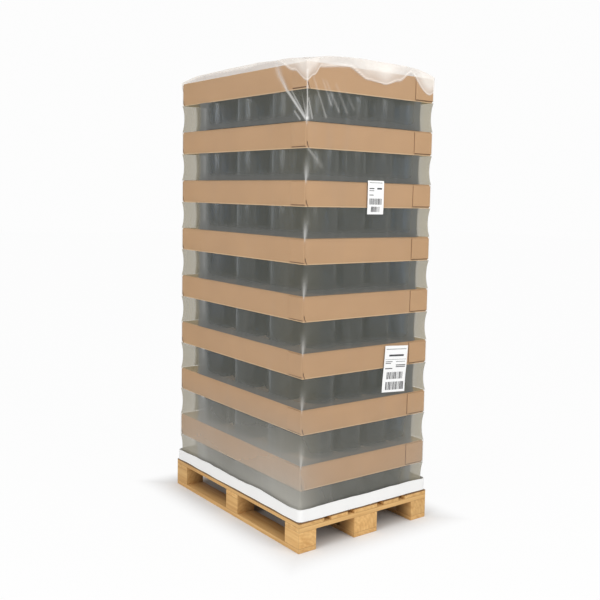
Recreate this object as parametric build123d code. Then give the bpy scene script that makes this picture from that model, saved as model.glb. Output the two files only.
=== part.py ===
from build123d import *
import math
import os

# A shrink-hooded pallet load of large glass jars.
#
# Eight layers of wide-mouth jars stand on a wooden block pallet. A white tray with turned-up edges
# lies on the pallet. A brown corrugated tray, turned edges down, caps each layer of jars and
# carries the next one. A clear shrink hood holds the load, and two paper labels are stuck on it.
#
# Frame: millimetres, +Z up, origin on the floor under the middle of the pallet. +X runs along the
# long side and +Y across it, from the front long side to the back one.

# Wooden block pallet
PALLET_LENGTH = 1200.0
PALLET_WIDTH = 800.0
BLOCK_LENGTH = 115.0
BLOCK_HEIGHT = 78.0
EDGE_RUNNER_WIDTH = 100.0
MIDDLE_RUNNER_WIDTH = 145.0
RUNNER_THICKNESS = 22.0
CROSSBOARD_THICKNESS = 22.0
DECK_THICKNESS = 22.0
DECK_WIDE = 145.0
DECK_NARROW = 100.0

# White tray on the pallet
BASE_TRAY_BOARD = 3.0
BASE_TRAY_RIM = 48.0
BASE_TRAY_CORNER = 25.0

# Jars. Each is a many-sided form of the round jar, inside its true circle.
JAR_DIAMETER = 167.0
JAR_HEIGHT = 257.0
JAR_HEEL = 12.0
JAR_BODY_TOP = 205.0
JAR_MOUTH_DIAMETER = 114.0
JAR_SIDES = 10
JAR_GAP = 0.3
ROW_END_GAP = 24.0
CORE_CLEARANCE = 3.0

# Corrugated trays, turned edges down, set in from the pallet's edges
LAYERS = 8
TRAY_INSET = 16.5
TRAY_BOARD = 5.0
TRAY_WALL = 120.0
FLAP_LENGTH = 115.0
FLAP_MARGIN = 8.0

# Shrink hood. Its film is drawn thicker than real film, so that it is a sound solid.
FILM = 1.0
FILM_CLEARANCE = 0.3
HOOD_DRAW = 10.0
HOOD_CROWN = 30.0
HOOD_CROWN_INSET = 90.0

# Paper labels on the hood's right-hand side, each over a tray, counted from the lowest. A label's
# middle lies this far behind the pallet's middle line, and below the top of its tray.
LABEL_THICKNESS = 0.5
UPPER_LABEL_WIDTH = 100.0
UPPER_LABEL_HEIGHT = 160.0
UPPER_LABEL_TRAY = 6
UPPER_LABEL_DROP = 71.0
UPPER_LABEL_BEHIND = 22.0
LOWER_LABEL_WIDTH = 150.0
LOWER_LABEL_HEIGHT = 232.0
LOWER_LABEL_TRAY = 3
LOWER_LABEL_DROP = 130.0
LOWER_LABEL_BEHIND = 175.0
LOWER_LABEL_TILT = -4.0

# Levels worked out from the sizes above
CROSSBOARD_BASE = RUNNER_THICKNESS + BLOCK_HEIGHT
DECK_BASE = CROSSBOARD_BASE + CROSSBOARD_THICKNESS
PALLET_TOP = DECK_BASE + DECK_THICKNESS
LOAD_BASE = PALLET_TOP + BASE_TRAY_BOARD
LAYER_PITCH = JAR_HEIGHT + TRAY_BOARD
LOAD_TOP = LOAD_BASE + LAYERS * LAYER_PITCH

# The trays, and as many jars as they take in a staggered pattern: rows across the pallet, each
# half a jar to the side of the one before, and spread evenly between the gaps at the ends
TRAY_LENGTH = PALLET_LENGTH - 2 * TRAY_INSET
TRAY_WIDTH = PALLET_WIDTH - 2 * TRAY_INSET
TRAY_INNER_LENGTH = TRAY_LENGTH - 2 * TRAY_BOARD
TRAY_INNER_WIDTH = TRAY_WIDTH - 2 * TRAY_BOARD
JAR_PITCH = JAR_DIAMETER + JAR_GAP
CLOSEST_ROW_PITCH = JAR_PITCH * math.sqrt(3) / 2
FIRST_TO_LAST_ROW = TRAY_INNER_LENGTH - 2 * ROW_END_GAP - JAR_DIAMETER
ROWS = int(FIRST_TO_LAST_ROW / CLOSEST_ROW_PITCH) + 1
ROW_PITCH = FIRST_TO_LAST_ROW / (ROWS - 1)
JARS_IN_ROW = int((TRAY_INNER_WIDTH - JAR_DIAMETER) / JAR_PITCH + 0.5)

ON_BASE = (Align.CENTER, Align.CENTER, Align.MIN)
UNDER_TOP = (Align.CENTER, Align.CENTER, Align.MAX)
RUNNER_WIDTHS = {"front": EDGE_RUNNER_WIDTH, "middle": MIDDLE_RUNNER_WIDTH, "back": EDGE_RUNNER_WIDTH}
RUNNER_SIDES = {"front": -1, "middle": 0, "back": 1}
COLUMN_SIDES = {"left": -1, "centre": 0, "right": 1}


def runner_place(row):
    """Distance of a runner's middle line from the pallet's, the outer ones flush with its sides."""
    return RUNNER_SIDES[row] * (PALLET_WIDTH - RUNNER_WIDTHS[row]) / 2


def column_place(column):
    """Distance of a column of blocks from the pallet's middle, the outer ones flush with its ends."""
    return COLUMN_SIDES[column] * (PALLET_LENGTH - BLOCK_LENGTH) / 2


def runners():
    """Boards that the blocks stand on, along the pallet's length."""
    made = {}
    for row, width in RUNNER_WIDTHS.items():
        board = Box(PALLET_LENGTH, width, RUNNER_THICKNESS, align=ON_BASE)
        made[f"runner_{row}"] = Pos(0, runner_place(row), 0) * board
    return made


def blocks():
    """Nine blocks, each as wide as its runner."""
    made = {}
    for row, width in RUNNER_WIDTHS.items():
        block = Box(BLOCK_LENGTH, width, BLOCK_HEIGHT, align=ON_BASE)
        for column in COLUMN_SIDES:
            place = Pos(column_place(column), runner_place(row), RUNNER_THICKNESS)
            made[f"block_{row}_{column}"] = place * block
    return made


def crossboards():
    """Boards on the blocks, across the pallet, each as wide as the blocks are long."""
    board = Box(BLOCK_LENGTH, PALLET_WIDTH, CROSSBOARD_THICKNESS, align=ON_BASE)
    made = {}
    for column in COLUMN_SIDES:
        made[f"crossboard_{column}"] = Pos(column_place(column), 0, CROSSBOARD_BASE) * board
    return made


def deck_boards():
    """Top boards along the pallet, wide and narrow by turns, with equal gaps."""
    widths = (DECK_WIDE, DECK_NARROW, DECK_WIDE, DECK_NARROW, DECK_WIDE)
    gap = (PALLET_WIDTH - sum(widths)) / (len(widths) - 1)
    edge = -PALLET_WIDTH / 2
    made = {}
    for number, width in enumerate(widths, start=1):
        board = Box(PALLET_LENGTH, width, DECK_THICKNESS, align=ON_BASE)
        made[f"deck_board_{number}"] = Pos(0, edge + width / 2, DECK_BASE) * board
        edge += width + gap
    return made


def base_tray():
    """White tray on the pallet, its rim turned up round the lowest jars."""
    inner_length = PALLET_LENGTH - 2 * BASE_TRAY_BOARD
    inner_width = PALLET_WIDTH - 2 * BASE_TRAY_BOARD
    outer = RectangleRounded(PALLET_LENGTH, PALLET_WIDTH, BASE_TRAY_CORNER)
    inner = RectangleRounded(inner_length, inner_width, BASE_TRAY_CORNER - BASE_TRAY_BOARD)
    body = extrude(Pos(0, 0, PALLET_TOP) * outer, amount=BASE_TRAY_BOARD + BASE_TRAY_RIM)
    hollow = extrude(Pos(0, 0, LOAD_BASE) * inner, amount=BASE_TRAY_RIM)
    return body - hollow


def jar():
    """One wide-mouth jar on Z 0, with a turned-in heel, a straight body and a sloped shoulder."""
    side_reach = math.cos(math.pi / JAR_SIDES) / 2
    shoulder_drop = JAR_HEIGHT - JAR_BODY_TOP
    shoulder_inset = (JAR_DIAMETER - JAR_MOUTH_DIAMETER) * side_reach
    body = extrude(RegularPolygon(JAR_DIAMETER / 2, JAR_SIDES), amount=JAR_HEIGHT)
    foot = body.faces().sort_by(Axis.Z)[0]
    body = chamfer(foot.edges(), JAR_HEEL)
    top = body.faces().sort_by(Axis.Z)[-1]
    return chamfer(top.edges(), shoulder_inset, shoulder_drop, reference=top)


def jar_rows():
    """Centres of one layer's jars: rows across the pallet, the end ones set back from the front."""
    rows = []
    for row in range(ROWS):
        x = ((ROWS - 1) / 2 - row) * ROW_PITCH
        shift = JAR_PITCH * (-0.25 if row % 2 else 0.25)
        first = shift - (JARS_IN_ROW - 1) / 2 * JAR_PITCH
        rows.append([(x, first + place * JAR_PITCH) for place in range(JARS_IN_ROW)])
    return rows


def jar_core(rows):
    """Plain block in the place of the jars that other jars hide, as tall as they are."""
    reach = JAR_DIAMETER / 2 + CORE_CLEARANCE
    half_length = rows[0][0][0] - reach
    half_width = min(row[-1][1] for row in rows) - reach
    return Box(2 * half_length, 2 * half_width, JAR_HEIGHT, align=ON_BASE)


def jar_layer():
    """The jars round the outside of one layer, and the core inside them."""
    rows = jar_rows()
    outer = rows[0] + rows[-1]
    for row in rows[1:-1]:
        outer += [row[0], row[-1]]
    one = jar()
    return [Pos(x, y, 0) * one for x, y in outer] + [jar_core(rows)]


def tray():
    """Corrugated tray with its top at Z 0, each wall turned down and its end flap glued outside."""
    body = Box(TRAY_LENGTH, TRAY_WIDTH, TRAY_WALL, align=UNDER_TOP)
    hollow = Box(TRAY_INNER_LENGTH, TRAY_INNER_WIDTH, TRAY_WALL - TRAY_BOARD, align=UNDER_TOP)
    body -= Pos(0, 0, -TRAY_BOARD) * hollow
    flap_height = TRAY_WALL - 2 * FLAP_MARGIN
    flap = Box(FLAP_LENGTH, TRAY_BOARD, flap_height, align=(Align.MAX, Align.MAX, Align.MAX))
    for turn in (0, 90, 180, 270):
        along, out = (TRAY_LENGTH, TRAY_WIDTH) if turn % 180 == 0 else (TRAY_WIDTH, TRAY_LENGTH)
        body += Rot(0, 0, turn) * Pos(along / 2, -out / 2, -FLAP_MARGIN) * flap
    return body


def hood_outline(plane, tray_size, foot, grow):
    """The hood's outline from one side, drawn in between the trays and raised over the top one."""
    reach = tray_size / 2 + TRAY_BOARD + FILM_CLEARANCE + grow
    side = [(reach, foot)]
    for layer in range(LAYERS):
        base = LOAD_BASE + layer * LAYER_PITCH
        top = base + LAYER_PITCH
        wall_foot = top - TRAY_WALL
        side.append((reach - HOOD_DRAW, (base + wall_foot) / 2))
        side.append((reach, wall_foot))
        side.append((reach, top + FILM_CLEARANCE + grow))
    side.append((reach - HOOD_CROWN_INSET, LOAD_TOP + FILM_CLEARANCE + HOOD_CROWN + grow))
    mirrored = [(-across, level) for across, level in reversed(side)]
    return plane * make_face(Polyline(*side, *mirrored, close=True))


def hood_form(foot, grow):
    """Solid form of the hood: what its front and side outlines, each drawn right through, share."""
    front = extrude(hood_outline(Plane.XZ, TRAY_LENGTH, foot, grow), amount=TRAY_WIDTH, both=True)
    side = extrude(hood_outline(Plane.YZ, TRAY_WIDTH, foot, grow), amount=TRAY_LENGTH, both=True)
    return front & side


def shrink_hood():
    """Clear film bag over the load, open at its foot, which stands inside the white tray's rim."""
    foot = LOAD_BASE + FILM_CLEARANCE
    return hood_form(foot, FILM) - hood_form(foot - FILM, 0)


def label(width, height, tray_number, drop, behind, tilt=0.0):
    """Paper label flat on the hood's right-hand side, where a tray holds the film out."""
    face = TRAY_LENGTH / 2 + TRAY_BOARD + FILM_CLEARANCE + FILM
    middle = LOAD_BASE + tray_number * LAYER_PITCH - drop
    paper = Box(LABEL_THICKNESS, width, height, align=(Align.MIN, Align.CENTER, Align.CENTER))
    return Pos(face, behind, middle) * Rot(tilt, 0, 0) * paper


def labels():
    """The small upper label, and the larger lower one, a little askew."""
    upper_place = (UPPER_LABEL_TRAY, UPPER_LABEL_DROP, UPPER_LABEL_BEHIND)
    lower_place = (LOWER_LABEL_TRAY, LOWER_LABEL_DROP, LOWER_LABEL_BEHIND)
    upper = label(UPPER_LABEL_WIDTH, UPPER_LABEL_HEIGHT, *upper_place)
    lower = label(LOWER_LABEL_WIDTH, LOWER_LABEL_HEIGHT, *lower_place, tilt=LOWER_LABEL_TILT)
    return {"label_upper": upper, "label_lower": lower}


def load():
    """The eight layers of jars and the tray on each."""
    jars = jar_layer()
    cover = tray()
    made = {}
    for layer in range(LAYERS):
        base = LOAD_BASE + layer * LAYER_PITCH
        made[f"jar_layer_{layer + 1}"] = Compound([Pos(0, 0, base) * piece for piece in jars])
        made[f"tray_{layer + 1}"] = Pos(0, 0, base + LAYER_PITCH) * cover
    return made


pallet = {**runners(), **blocks(), **crossboards(), **deck_boards()}
wrapping = {"base_tray": base_tray(), "shrink_hood": shrink_hood(), **labels()}

os.makedirs("parts", exist_ok=True)
for node, shape in {**pallet, **load(), **wrapping}.items():
    export_step(shape, f"parts/{node}.step")
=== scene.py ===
# %% [markdown]
# # A pallet load of glass jars under a clear shrink hood
# The load is built on a frame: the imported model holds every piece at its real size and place.
# The lesson dresses that frame. Wood, board, glass and film each get their own shapes and their
# own material, and every new piece takes its size from the piece that it stands for.

# %% Load the frame
import math
import random
import bmesh
import bpy
from mathutils import Matrix, Vector, noise


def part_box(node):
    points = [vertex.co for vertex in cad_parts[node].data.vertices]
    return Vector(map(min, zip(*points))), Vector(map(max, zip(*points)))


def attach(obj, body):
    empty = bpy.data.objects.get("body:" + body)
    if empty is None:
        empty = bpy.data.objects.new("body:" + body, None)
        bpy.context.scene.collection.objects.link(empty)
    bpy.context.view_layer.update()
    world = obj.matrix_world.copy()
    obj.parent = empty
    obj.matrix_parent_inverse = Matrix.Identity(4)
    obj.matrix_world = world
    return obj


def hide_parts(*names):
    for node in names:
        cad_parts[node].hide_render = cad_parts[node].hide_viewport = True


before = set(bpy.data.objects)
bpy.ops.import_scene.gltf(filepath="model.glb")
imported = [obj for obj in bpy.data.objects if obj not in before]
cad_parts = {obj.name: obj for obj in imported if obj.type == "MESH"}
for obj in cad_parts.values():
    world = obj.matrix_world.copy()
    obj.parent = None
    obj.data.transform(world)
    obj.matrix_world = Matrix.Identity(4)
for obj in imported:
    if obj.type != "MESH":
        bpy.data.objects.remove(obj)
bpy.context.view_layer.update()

MM = 0.001

# %% [markdown]
# ## Helpers for modelling
# An operator acts on whatever is selected, so each helper first clears the selection. Pieces are
# added at their size and place, and their place is then applied, so that each object's own origin
# stays at the origin of the frame.

# %% Selection
def rest():
    """Object mode, with nothing selected."""
    if bpy.context.object and bpy.context.object.mode != "OBJECT":
        bpy.ops.object.mode_set(mode="OBJECT")
    bpy.ops.object.select_all(action="DESELECT")


def only(piece):
    """Object mode, with one piece selected and active."""
    rest()
    piece.select_set(True)
    bpy.context.view_layer.objects.active = piece


def pick(piece, test, kind="FACE"):
    """Edit mode, with just the faces, edges or points selected that pass the test."""
    only(piece)
    bpy.ops.object.mode_set(mode="EDIT")
    bpy.ops.mesh.select_mode(type=kind)
    bpy.ops.mesh.select_all(action="DESELECT")
    mesh = bmesh.from_edit_mesh(piece.data)
    parts = {"FACE": mesh.faces, "EDGE": mesh.edges, "VERT": mesh.verts}[kind]
    for part in parts:
        part.select_set(bool(test(part)))
    mesh.select_flush_mode()
    bmesh.update_edit_mesh(piece.data)


def direction(edge):
    """Which way an edge runs, as a vector without sign."""
    run = (edge.verts[1].co - edge.verts[0].co).normalized()
    return Vector(abs(part) for part in run)


def edge_middle(edge):
    """The middle of an edge."""
    return (edge.verts[0].co + edge.verts[1].co) / 2


# %% Primitives, copies and modifiers
def settle(name, scale=(1, 1, 1)):
    """Names the object that was just added, and applies its place, turn and scale to its mesh."""
    piece = bpy.context.object
    piece.name = piece.data.name = name
    piece.scale = scale
    bpy.ops.object.transform_apply(location=True, rotation=True, scale=True)
    return piece


def add_box(name, low, high):
    """A box between two corners."""
    rest()
    low, high = Vector(low), Vector(high)
    bpy.ops.mesh.primitive_cube_add(size=1, location=(low + high) / 2)
    return settle(name, high - low)


def add_grid(name, size, cuts, centre, turn=(0, 0, 0)):
    """A flat grid with a number of faces each way, placed and turned."""
    rest()
    bpy.ops.mesh.primitive_grid_add(x_subdivisions=cuts[0], y_subdivisions=cuts[1], size=1,
                                    location=centre, rotation=turn)
    return settle(name, (size[0], size[1], 1))


def slice_across(piece, axis, places):
    """Cuts the whole surface at each place along an axis, and keeps both sides."""
    normal = [1.0 if number == axis else 0.0 for number in range(3)]
    only(piece)
    bpy.ops.object.mode_set(mode="EDIT")
    for place in places:
        bpy.ops.mesh.select_all(action="SELECT")
        bpy.ops.mesh.bisect(plane_co=[place * part for part in normal], plane_no=normal)
    bpy.ops.object.mode_set(mode="OBJECT")


def steps_between(low, high, step):
    """Evenly spaced places between two limits, about a step apart, without the limits."""
    count = max(1, round((high - low) / step))
    return [low + (high - low) * number / count for number in range(1, count)]


def apply_modifier(piece, kind, **values):
    """Adds a modifier, sets it and applies it."""
    only(piece)
    modifier = piece.modifiers.new(kind.title(), kind)
    for key, value in values.items():
        setattr(modifier, key, value)
    bpy.ops.object.modifier_apply(modifier=modifier.name)


def copy_moved(piece, name, move):
    """A copy with a mesh of its own, moved, with its place in its mesh."""
    twin = piece.copy()
    twin.data = piece.data.copy()
    twin.name = twin.data.name = name
    twin.data.transform(Matrix.Translation(Vector(move)))
    bpy.context.collection.objects.link(twin)
    return twin


def join(pieces, name):
    """One piece out of several."""
    rest()
    for piece in pieces:
        piece.select_set(True)
    bpy.context.view_layer.objects.active = pieces[0]
    bpy.ops.object.join()
    joined = bpy.context.object
    joined.name = joined.data.name = name
    return joined


def smooth(piece, degrees=35):
    """Smooth shading, with edges sharper than the angle kept crisp."""
    only(piece)
    bpy.ops.object.shade_smooth_by_angle(angle=math.radians(degrees))


def remove(piece):
    """Takes a model away once its copies are made."""
    bpy.data.objects.remove(piece, do_unlink=True)


# %% [markdown]
# ## Helpers for materials
# Each finish is a small tree of nodes that reads Object coordinates. Colours are written as they
# look on a screen, and turned into the linear values that the shader wants.

# %% Node helpers
def screen(red, green, blue):
    """A colour as it looks on a screen, 0 to 255, as linear values."""
    def linear(value):
        value /= 255
        return value / 12.92 if value <= 0.04045 else ((value + 0.055) / 1.055) ** 2.4
    return (linear(red), linear(green), linear(blue), 1.0)


def node(tree, kind, inputs=(), **settings):
    """Adds a node, with its settings, and its inputs linked or set."""
    made = tree.nodes.new(kind)
    for key, value in settings.items():
        setattr(made, key, value)
    for key, value in dict(inputs).items():
        if isinstance(value, bpy.types.NodeSocket):
            tree.links.new(value, made.inputs[key])
        else:
            made.inputs[key].default_value = value
    return made


def feed(tree, target, results):
    """Links results to a node's inputs by name."""
    for key, value in results.items():
        tree.links.new(value, target.inputs[key])


def maths(tree, operation, first, second=0.0, third=0.0):
    """One Math node, and its result."""
    values = {0: first, 1: second, 2: third}
    return node(tree, "ShaderNodeMath", values, operation=operation).outputs[0]


def times(tree, first, second):
    """One value times another."""
    return maths(tree, "MULTIPLY", first, second)


def axes(tree, vector):
    """A vector's three parts."""
    return node(tree, "ShaderNodeSeparateXYZ", {0: vector}).outputs


def blend(tree, factor, first, second, way="MIX"):
    """Mixes two colours."""
    mixed = node(tree, "ShaderNodeMix", {0: factor, 6: first, 7: second}, data_type="RGBA", blend_type=way)
    return mixed.outputs[2]


def ramp(tree, value, low, high, out_low=0.0, out_high=1.0):
    """Spreads the range from low to high over another range, and holds it there."""
    inputs = {0: value, 1: low, 2: high, 3: out_low, 4: out_high}
    return node(tree, "ShaderNodeMapRange", inputs, interpolation_type="SMOOTHSTEP").outputs[0]


def mapped(tree, vector, scale=(1, 1, 1), turn=(0, 0, 0), move=(0, 0, 0)):
    """A vector through a Mapping node."""
    inputs = {"Vector": vector, "Scale": scale, "Rotation": turn, "Location": move}
    return node(tree, "ShaderNodeMapping", inputs).outputs[0]


def object_place(tree, **mapping):
    """Object coordinates through a Mapping node."""
    return mapped(tree, node(tree, "ShaderNodeTexCoord").outputs["Object"], **mapping)


def cloud(tree, vector, scale, detail=3.0, rough=0.5):
    """A noise pattern's value."""
    inputs = {"Vector": vector, "Scale": scale, "Detail": detail, "Roughness": rough}
    return node(tree, "ShaderNodeTexNoise", inputs).outputs[0]


def new_material(name, sockets=()):
    """A material, its tree and its Principled shader, with some of the shader's own sockets set."""
    material = bpy.data.materials.new(name)
    material.use_nodes = True
    shader = material.node_tree.nodes["Principled BSDF"]
    for key, value in dict(sockets).items():
        shader.inputs[key].default_value = value
    return material, material.node_tree, shader


def bump(tree, shader, height, distance, strength=1.0):
    """Feeds a height to the shader's normal."""
    inputs = {"Height": height, "Distance": distance, "Strength": strength}
    feed(tree, shader, {"Normal": node(tree, "ShaderNodeBump", inputs).outputs[0]})


def new_group(name, inputs, outputs):
    """A node group with named sockets, and its input and output nodes."""
    group = bpy.data.node_groups.new(name, "ShaderNodeTree")
    for label, kind, value in inputs:
        socket = group.interface.new_socket(label, in_out="INPUT", socket_type=kind)
        if value is not None:
            socket.default_value = value
    for label, kind in outputs:
        group.interface.new_socket(label, in_out="OUTPUT", socket_type=kind)
    start = group.nodes.new("NodeGroupInput")
    end = group.nodes.new("NodeGroupOutput")
    return group, start, end


def use_group(tree, group, inputs):
    """Places a node group in a tree."""
    return node(tree, "ShaderNodeGroup", inputs, node_tree=group)


def seen_share(tree):
    """1 for rays that show a surface: seen, mirrored or through glass. 0 for the rays that light others."""
    rays = node(tree, "ShaderNodeLightPath").outputs
    passed = maths(tree, "MAXIMUM", rays["Is Glossy Ray"], rays["Is Transmission Ray"])
    return maths(tree, "MAXIMUM", rays["Is Camera Ray"], passed)


# %% [markdown]
# ## Effects that several finishes share
# Mottling is the slow change of tone over any surface. Every material of the load uses it, so it is
# one group with its own inputs, built once. The plain matt finishes need little else, so one
# function makes them all.

# %% Mottling group
VECTOR, FLOAT, COLOUR = "NodeSocketVector", "NodeSocketFloat", "NodeSocketColor"


def make_mottling():
    """Slow and fine changes of tone on a colour."""
    inputs = (("Vector", VECTOR, None), ("Color", COLOUR, None), ("Patches", FLOAT, 4.0),
              ("Grit", FLOAT, 300.0), ("Amount", FLOAT, 0.1))
    group, start, end = new_group("Mottling", inputs, (("Color", COLOUR), ("Grit", FLOAT)))
    patches = cloud(group, start.outputs["Vector"], start.outputs["Patches"])
    grit = cloud(group, start.outputs["Vector"], start.outputs["Grit"], 2.0, 0.6)
    tone = maths(group, "MULTIPLY_ADD", patches, 0.7, times(group, grit, 0.3))
    swing = times(group, maths(group, "SUBTRACT", tone, 0.5), start.outputs["Amount"])
    factor = maths(group, "MULTIPLY_ADD", swing, 2.0, 1.0)
    toned = node(group, "ShaderNodeVectorMath", {0: start.outputs["Color"], "Scale": factor}, operation="SCALE")
    feed(group, end, {"Color": toned.outputs[0], "Grit": grit})
    return group


mottling = make_mottling()
print("group", mottling.name)


# %% Mottled finishes
def mottle(tree, place, colour, patches, grit, amount):
    """Mottling on a colour: the group's outputs, Color and Grit."""
    inputs = {"Vector": place, "Color": colour, "Patches": patches, "Grit": grit, "Amount": amount}
    return use_group(tree, mottling, inputs).outputs


def make_matt(name, colour, mottles, roughness, relief=None):
    """A dull finish. Mottles are patches, grit and amount, and relief is the grit's height and strength."""
    material, tree, shader = new_material(name, {"Roughness": roughness})
    toned = mottle(tree, object_place(tree), colour, *mottles)
    feed(tree, shader, {"Base Color": toned["Color"]})
    if relief:
        bump(tree, shader, toned["Grit"], *relief)
    return material


# %% [markdown]
# ## The pallet's boards and blocks
# Each board is sawn softwood with sharp but slightly broken edges. A box from the frame gives its
# size, a bevel breaks the edges, and the grain is a stretched noise that runs along each board.

# %% Wood
def make_grain():
    """Colour, roughness and height of sawn softwood whose grain runs along X."""
    inputs = (("Vector", VECTOR, None), ("Light", COLOUR, None), ("Dark", COLOUR, None))
    outputs = (("Color", COLOUR), ("Roughness", FLOAT), ("Height", FLOAT))
    group, start, end = new_group("Sawn wood", inputs, outputs)
    place = start.outputs["Vector"]
    streaks = cloud(group, mapped(group, place, (0.9, 14.0, 14.0)), 3.0, 6.0, 0.6)
    fibres = cloud(group, mapped(group, place, (9.0, 320.0, 320.0)), 1.0, 3.0, 0.7)
    sway = mapped(group, place, (1.5, 9.0, 9.0))
    inputs = {"Vector": sway, "Scale": 2.0, "Distortion": 3.0, "Detail": 2.0, "Detail Scale": 1.2}
    rings = node(group, "ShaderNodeTexWave", inputs, wave_type="RINGS", rings_direction="X").outputs[1]
    faint_rings = times(group, rings, 0.2)
    tone = maths(group, "MULTIPLY_ADD", ramp(group, streaks, 0.3, 0.75), 0.55, faint_rings)
    tone = maths(group, "MULTIPLY_ADD", fibres, 0.3, maths(group, "SUBTRACT", tone, 0.05))
    feed(group, end, {"Color": blend(group, tone, start.outputs["Light"], start.outputs["Dark"]),
                      "Roughness": ramp(group, fibres, 0.2, 0.8, 0.62, 0.85),
                      "Height": maths(group, "ADD", fibres, times(group, rings, 0.4))})
    return group


grain = make_grain()
print("group", grain.name)

# %% Dark joints and painted shade
HALF_PALLET = [round(side, 4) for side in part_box("base_tray")[1][:2]]
DECK_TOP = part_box("base_tray")[0].z
JOINT_AND_SHADE_BROWN = screen(96, 62, 34)


def make_joints_and_shade():
    """Darkens wood on its broken edges, and paints shade inside the pallet and a shadow line just under the
    white tray.
    """
    inputs = (("Vector", VECTOR, None), ("Color", COLOUR, None))
    group, start, end = new_group("Joints and painted shade", inputs, (("Color", COLOUR),))
    normal = node(group, "ShaderNodeNewGeometry").outputs["True Normal"]
    parts = axes(group, normal)
    straight = [maths(group, "ABSOLUTE", part) for part in parts]
    straight = maths(group, "MAXIMUM", straight[0], maths(group, "MAXIMUM", straight[1], straight[2]))
    edge = ramp(group, straight, 0.9, 0.995, 0.6, 0.0)
    spot = axes(group, start.outputs["Vector"])
    inside = [maths(group, "SUBTRACT", half, maths(group, "ABSOLUTE", part))
              for half, part in zip(HALF_PALLET, spot)]
    # painted shade: the wood darkens deeper inside the pallet, where little light reaches
    inside_shade = ramp(group, maths(group, "MINIMUM", *inside), 0.004, 0.11, 0.0, 0.62)
    below = ramp(group, spot[2], DECK_TOP - 3 * MM, DECK_TOP - 1 * MM, 1.0, 0.0)
    dark = maths(group, "MAXIMUM", edge, times(group, inside_shade, below))
    # painted shadow: a dark line on the deck's edge just under the white tray's rim
    under_tray = ramp(group, spot[2], DECK_TOP - 6 * MM, DECK_TOP - 4 * MM, 0.0, 0.8)
    dark = maths(group, "MAXIMUM", dark, under_tray)
    feed(group, end, {"Color": blend(group, dark, start.outputs["Color"], JOINT_AND_SHADE_BROWN)})
    return group


joints_and_shade = make_joints_and_shade()
print("group", joints_and_shade.name, "on a pallet", HALF_PALLET, "each way, deck at", round(DECK_TOP, 3))

# %% A board's own wood
def make_wood(name, turn, seed, middle):
    """A board's own wood: the grain turned along it, ringed round its own pith and toned a little."""
    chance = random.Random(seed)
    material, tree, shader = new_material(name)
    pith = Matrix.Rotation(turn[2], 4, "Z") @ -middle
    move = pith + Vector((chance.uniform(-5, 5), chance.uniform(-0.1, 0.1), chance.uniform(0.03, 0.12)))
    place = object_place(tree, turn=turn, move=move)
    tint = chance.uniform(0.9, 1.06)
    light = [part * tint for part in screen(232, 190, 126)[:3]] + [1.0]
    dark = [part * tint for part in screen(194, 142, 78)[:3]] + [1.0]
    wood = use_group(tree, grain, {"Vector": place, "Light": light, "Dark": dark})
    toned = mottle(tree, place, wood.outputs["Color"], 6.0, 220.0, 0.16)
    joined = use_group(tree, joints_and_shade, {"Vector": object_place(tree), "Color": toned["Color"]})
    feed(tree, shader, {"Base Color": joined.outputs["Color"], "Roughness": wood.outputs["Roughness"]})
    bump(tree, shader, wood.outputs["Height"], 0.4 * MM, 0.8)
    return material


# %% Boards
BROKEN_EDGE = 1.8 * MM
ALONG_Y = (0, 0, math.radians(90))
ALONG_X = (0, 0, 0)


def make_board(name, seed):
    """A board or block in the place of its node, with broken edges."""
    low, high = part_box(name)
    board = add_box(name + "_wood", low, high)
    pick(board, lambda edge: True, "EDGE")
    bpy.ops.mesh.bevel(offset=BROKEN_EDGE, segments=2, profile=0.6)
    rest()
    turn = ALONG_Y if name.startswith("crossboard") else ALONG_X
    board.data.materials.append(make_wood(name + "_grain", turn, seed, (low + high) / 2))
    smooth(board)
    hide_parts(name)
    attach(board, "root")
    return board


WOODEN = ("runner", "block", "crossboard", "deck_board")
wooden_nodes = sorted(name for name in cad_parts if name.startswith(WOODEN))
boards = [make_board(name, number) for number, name in enumerate(wooden_nodes)]
print("pallet", len(boards), "boards and blocks")

# %% [markdown]
# ## Brown corrugated trays
# Each tray is one sheet of corrugated board with its walls folded down, and a flap at each wall's
# end is glued round the corner. A box without its bottom gives the walls, bevelled edges give the
# folds, and Solidify gives the board its thickness. Slices across the walls let them bow a little,
# and thin dark strips of painted shadow stand for the shade in the gaps round the flaps and in the curved cuts
# at the other ends.

# %% Brown board
BOARD_BROWN = screen(187, 149, 111)
CORE_BROWN = screen(120, 88, 58)
PALE_EDGE_AND_HIGHLIGHT_BROWN = screen(226, 196, 158)
FLUTE_PITCH = 7.5 * MM
tray_low, tray_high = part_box("tray_1")
TRAY_FOOT, TRAY_TALL = tray_low.z, tray_high.z - tray_low.z
TRAY_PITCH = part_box("tray_2")[0].z - tray_low.z


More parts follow.
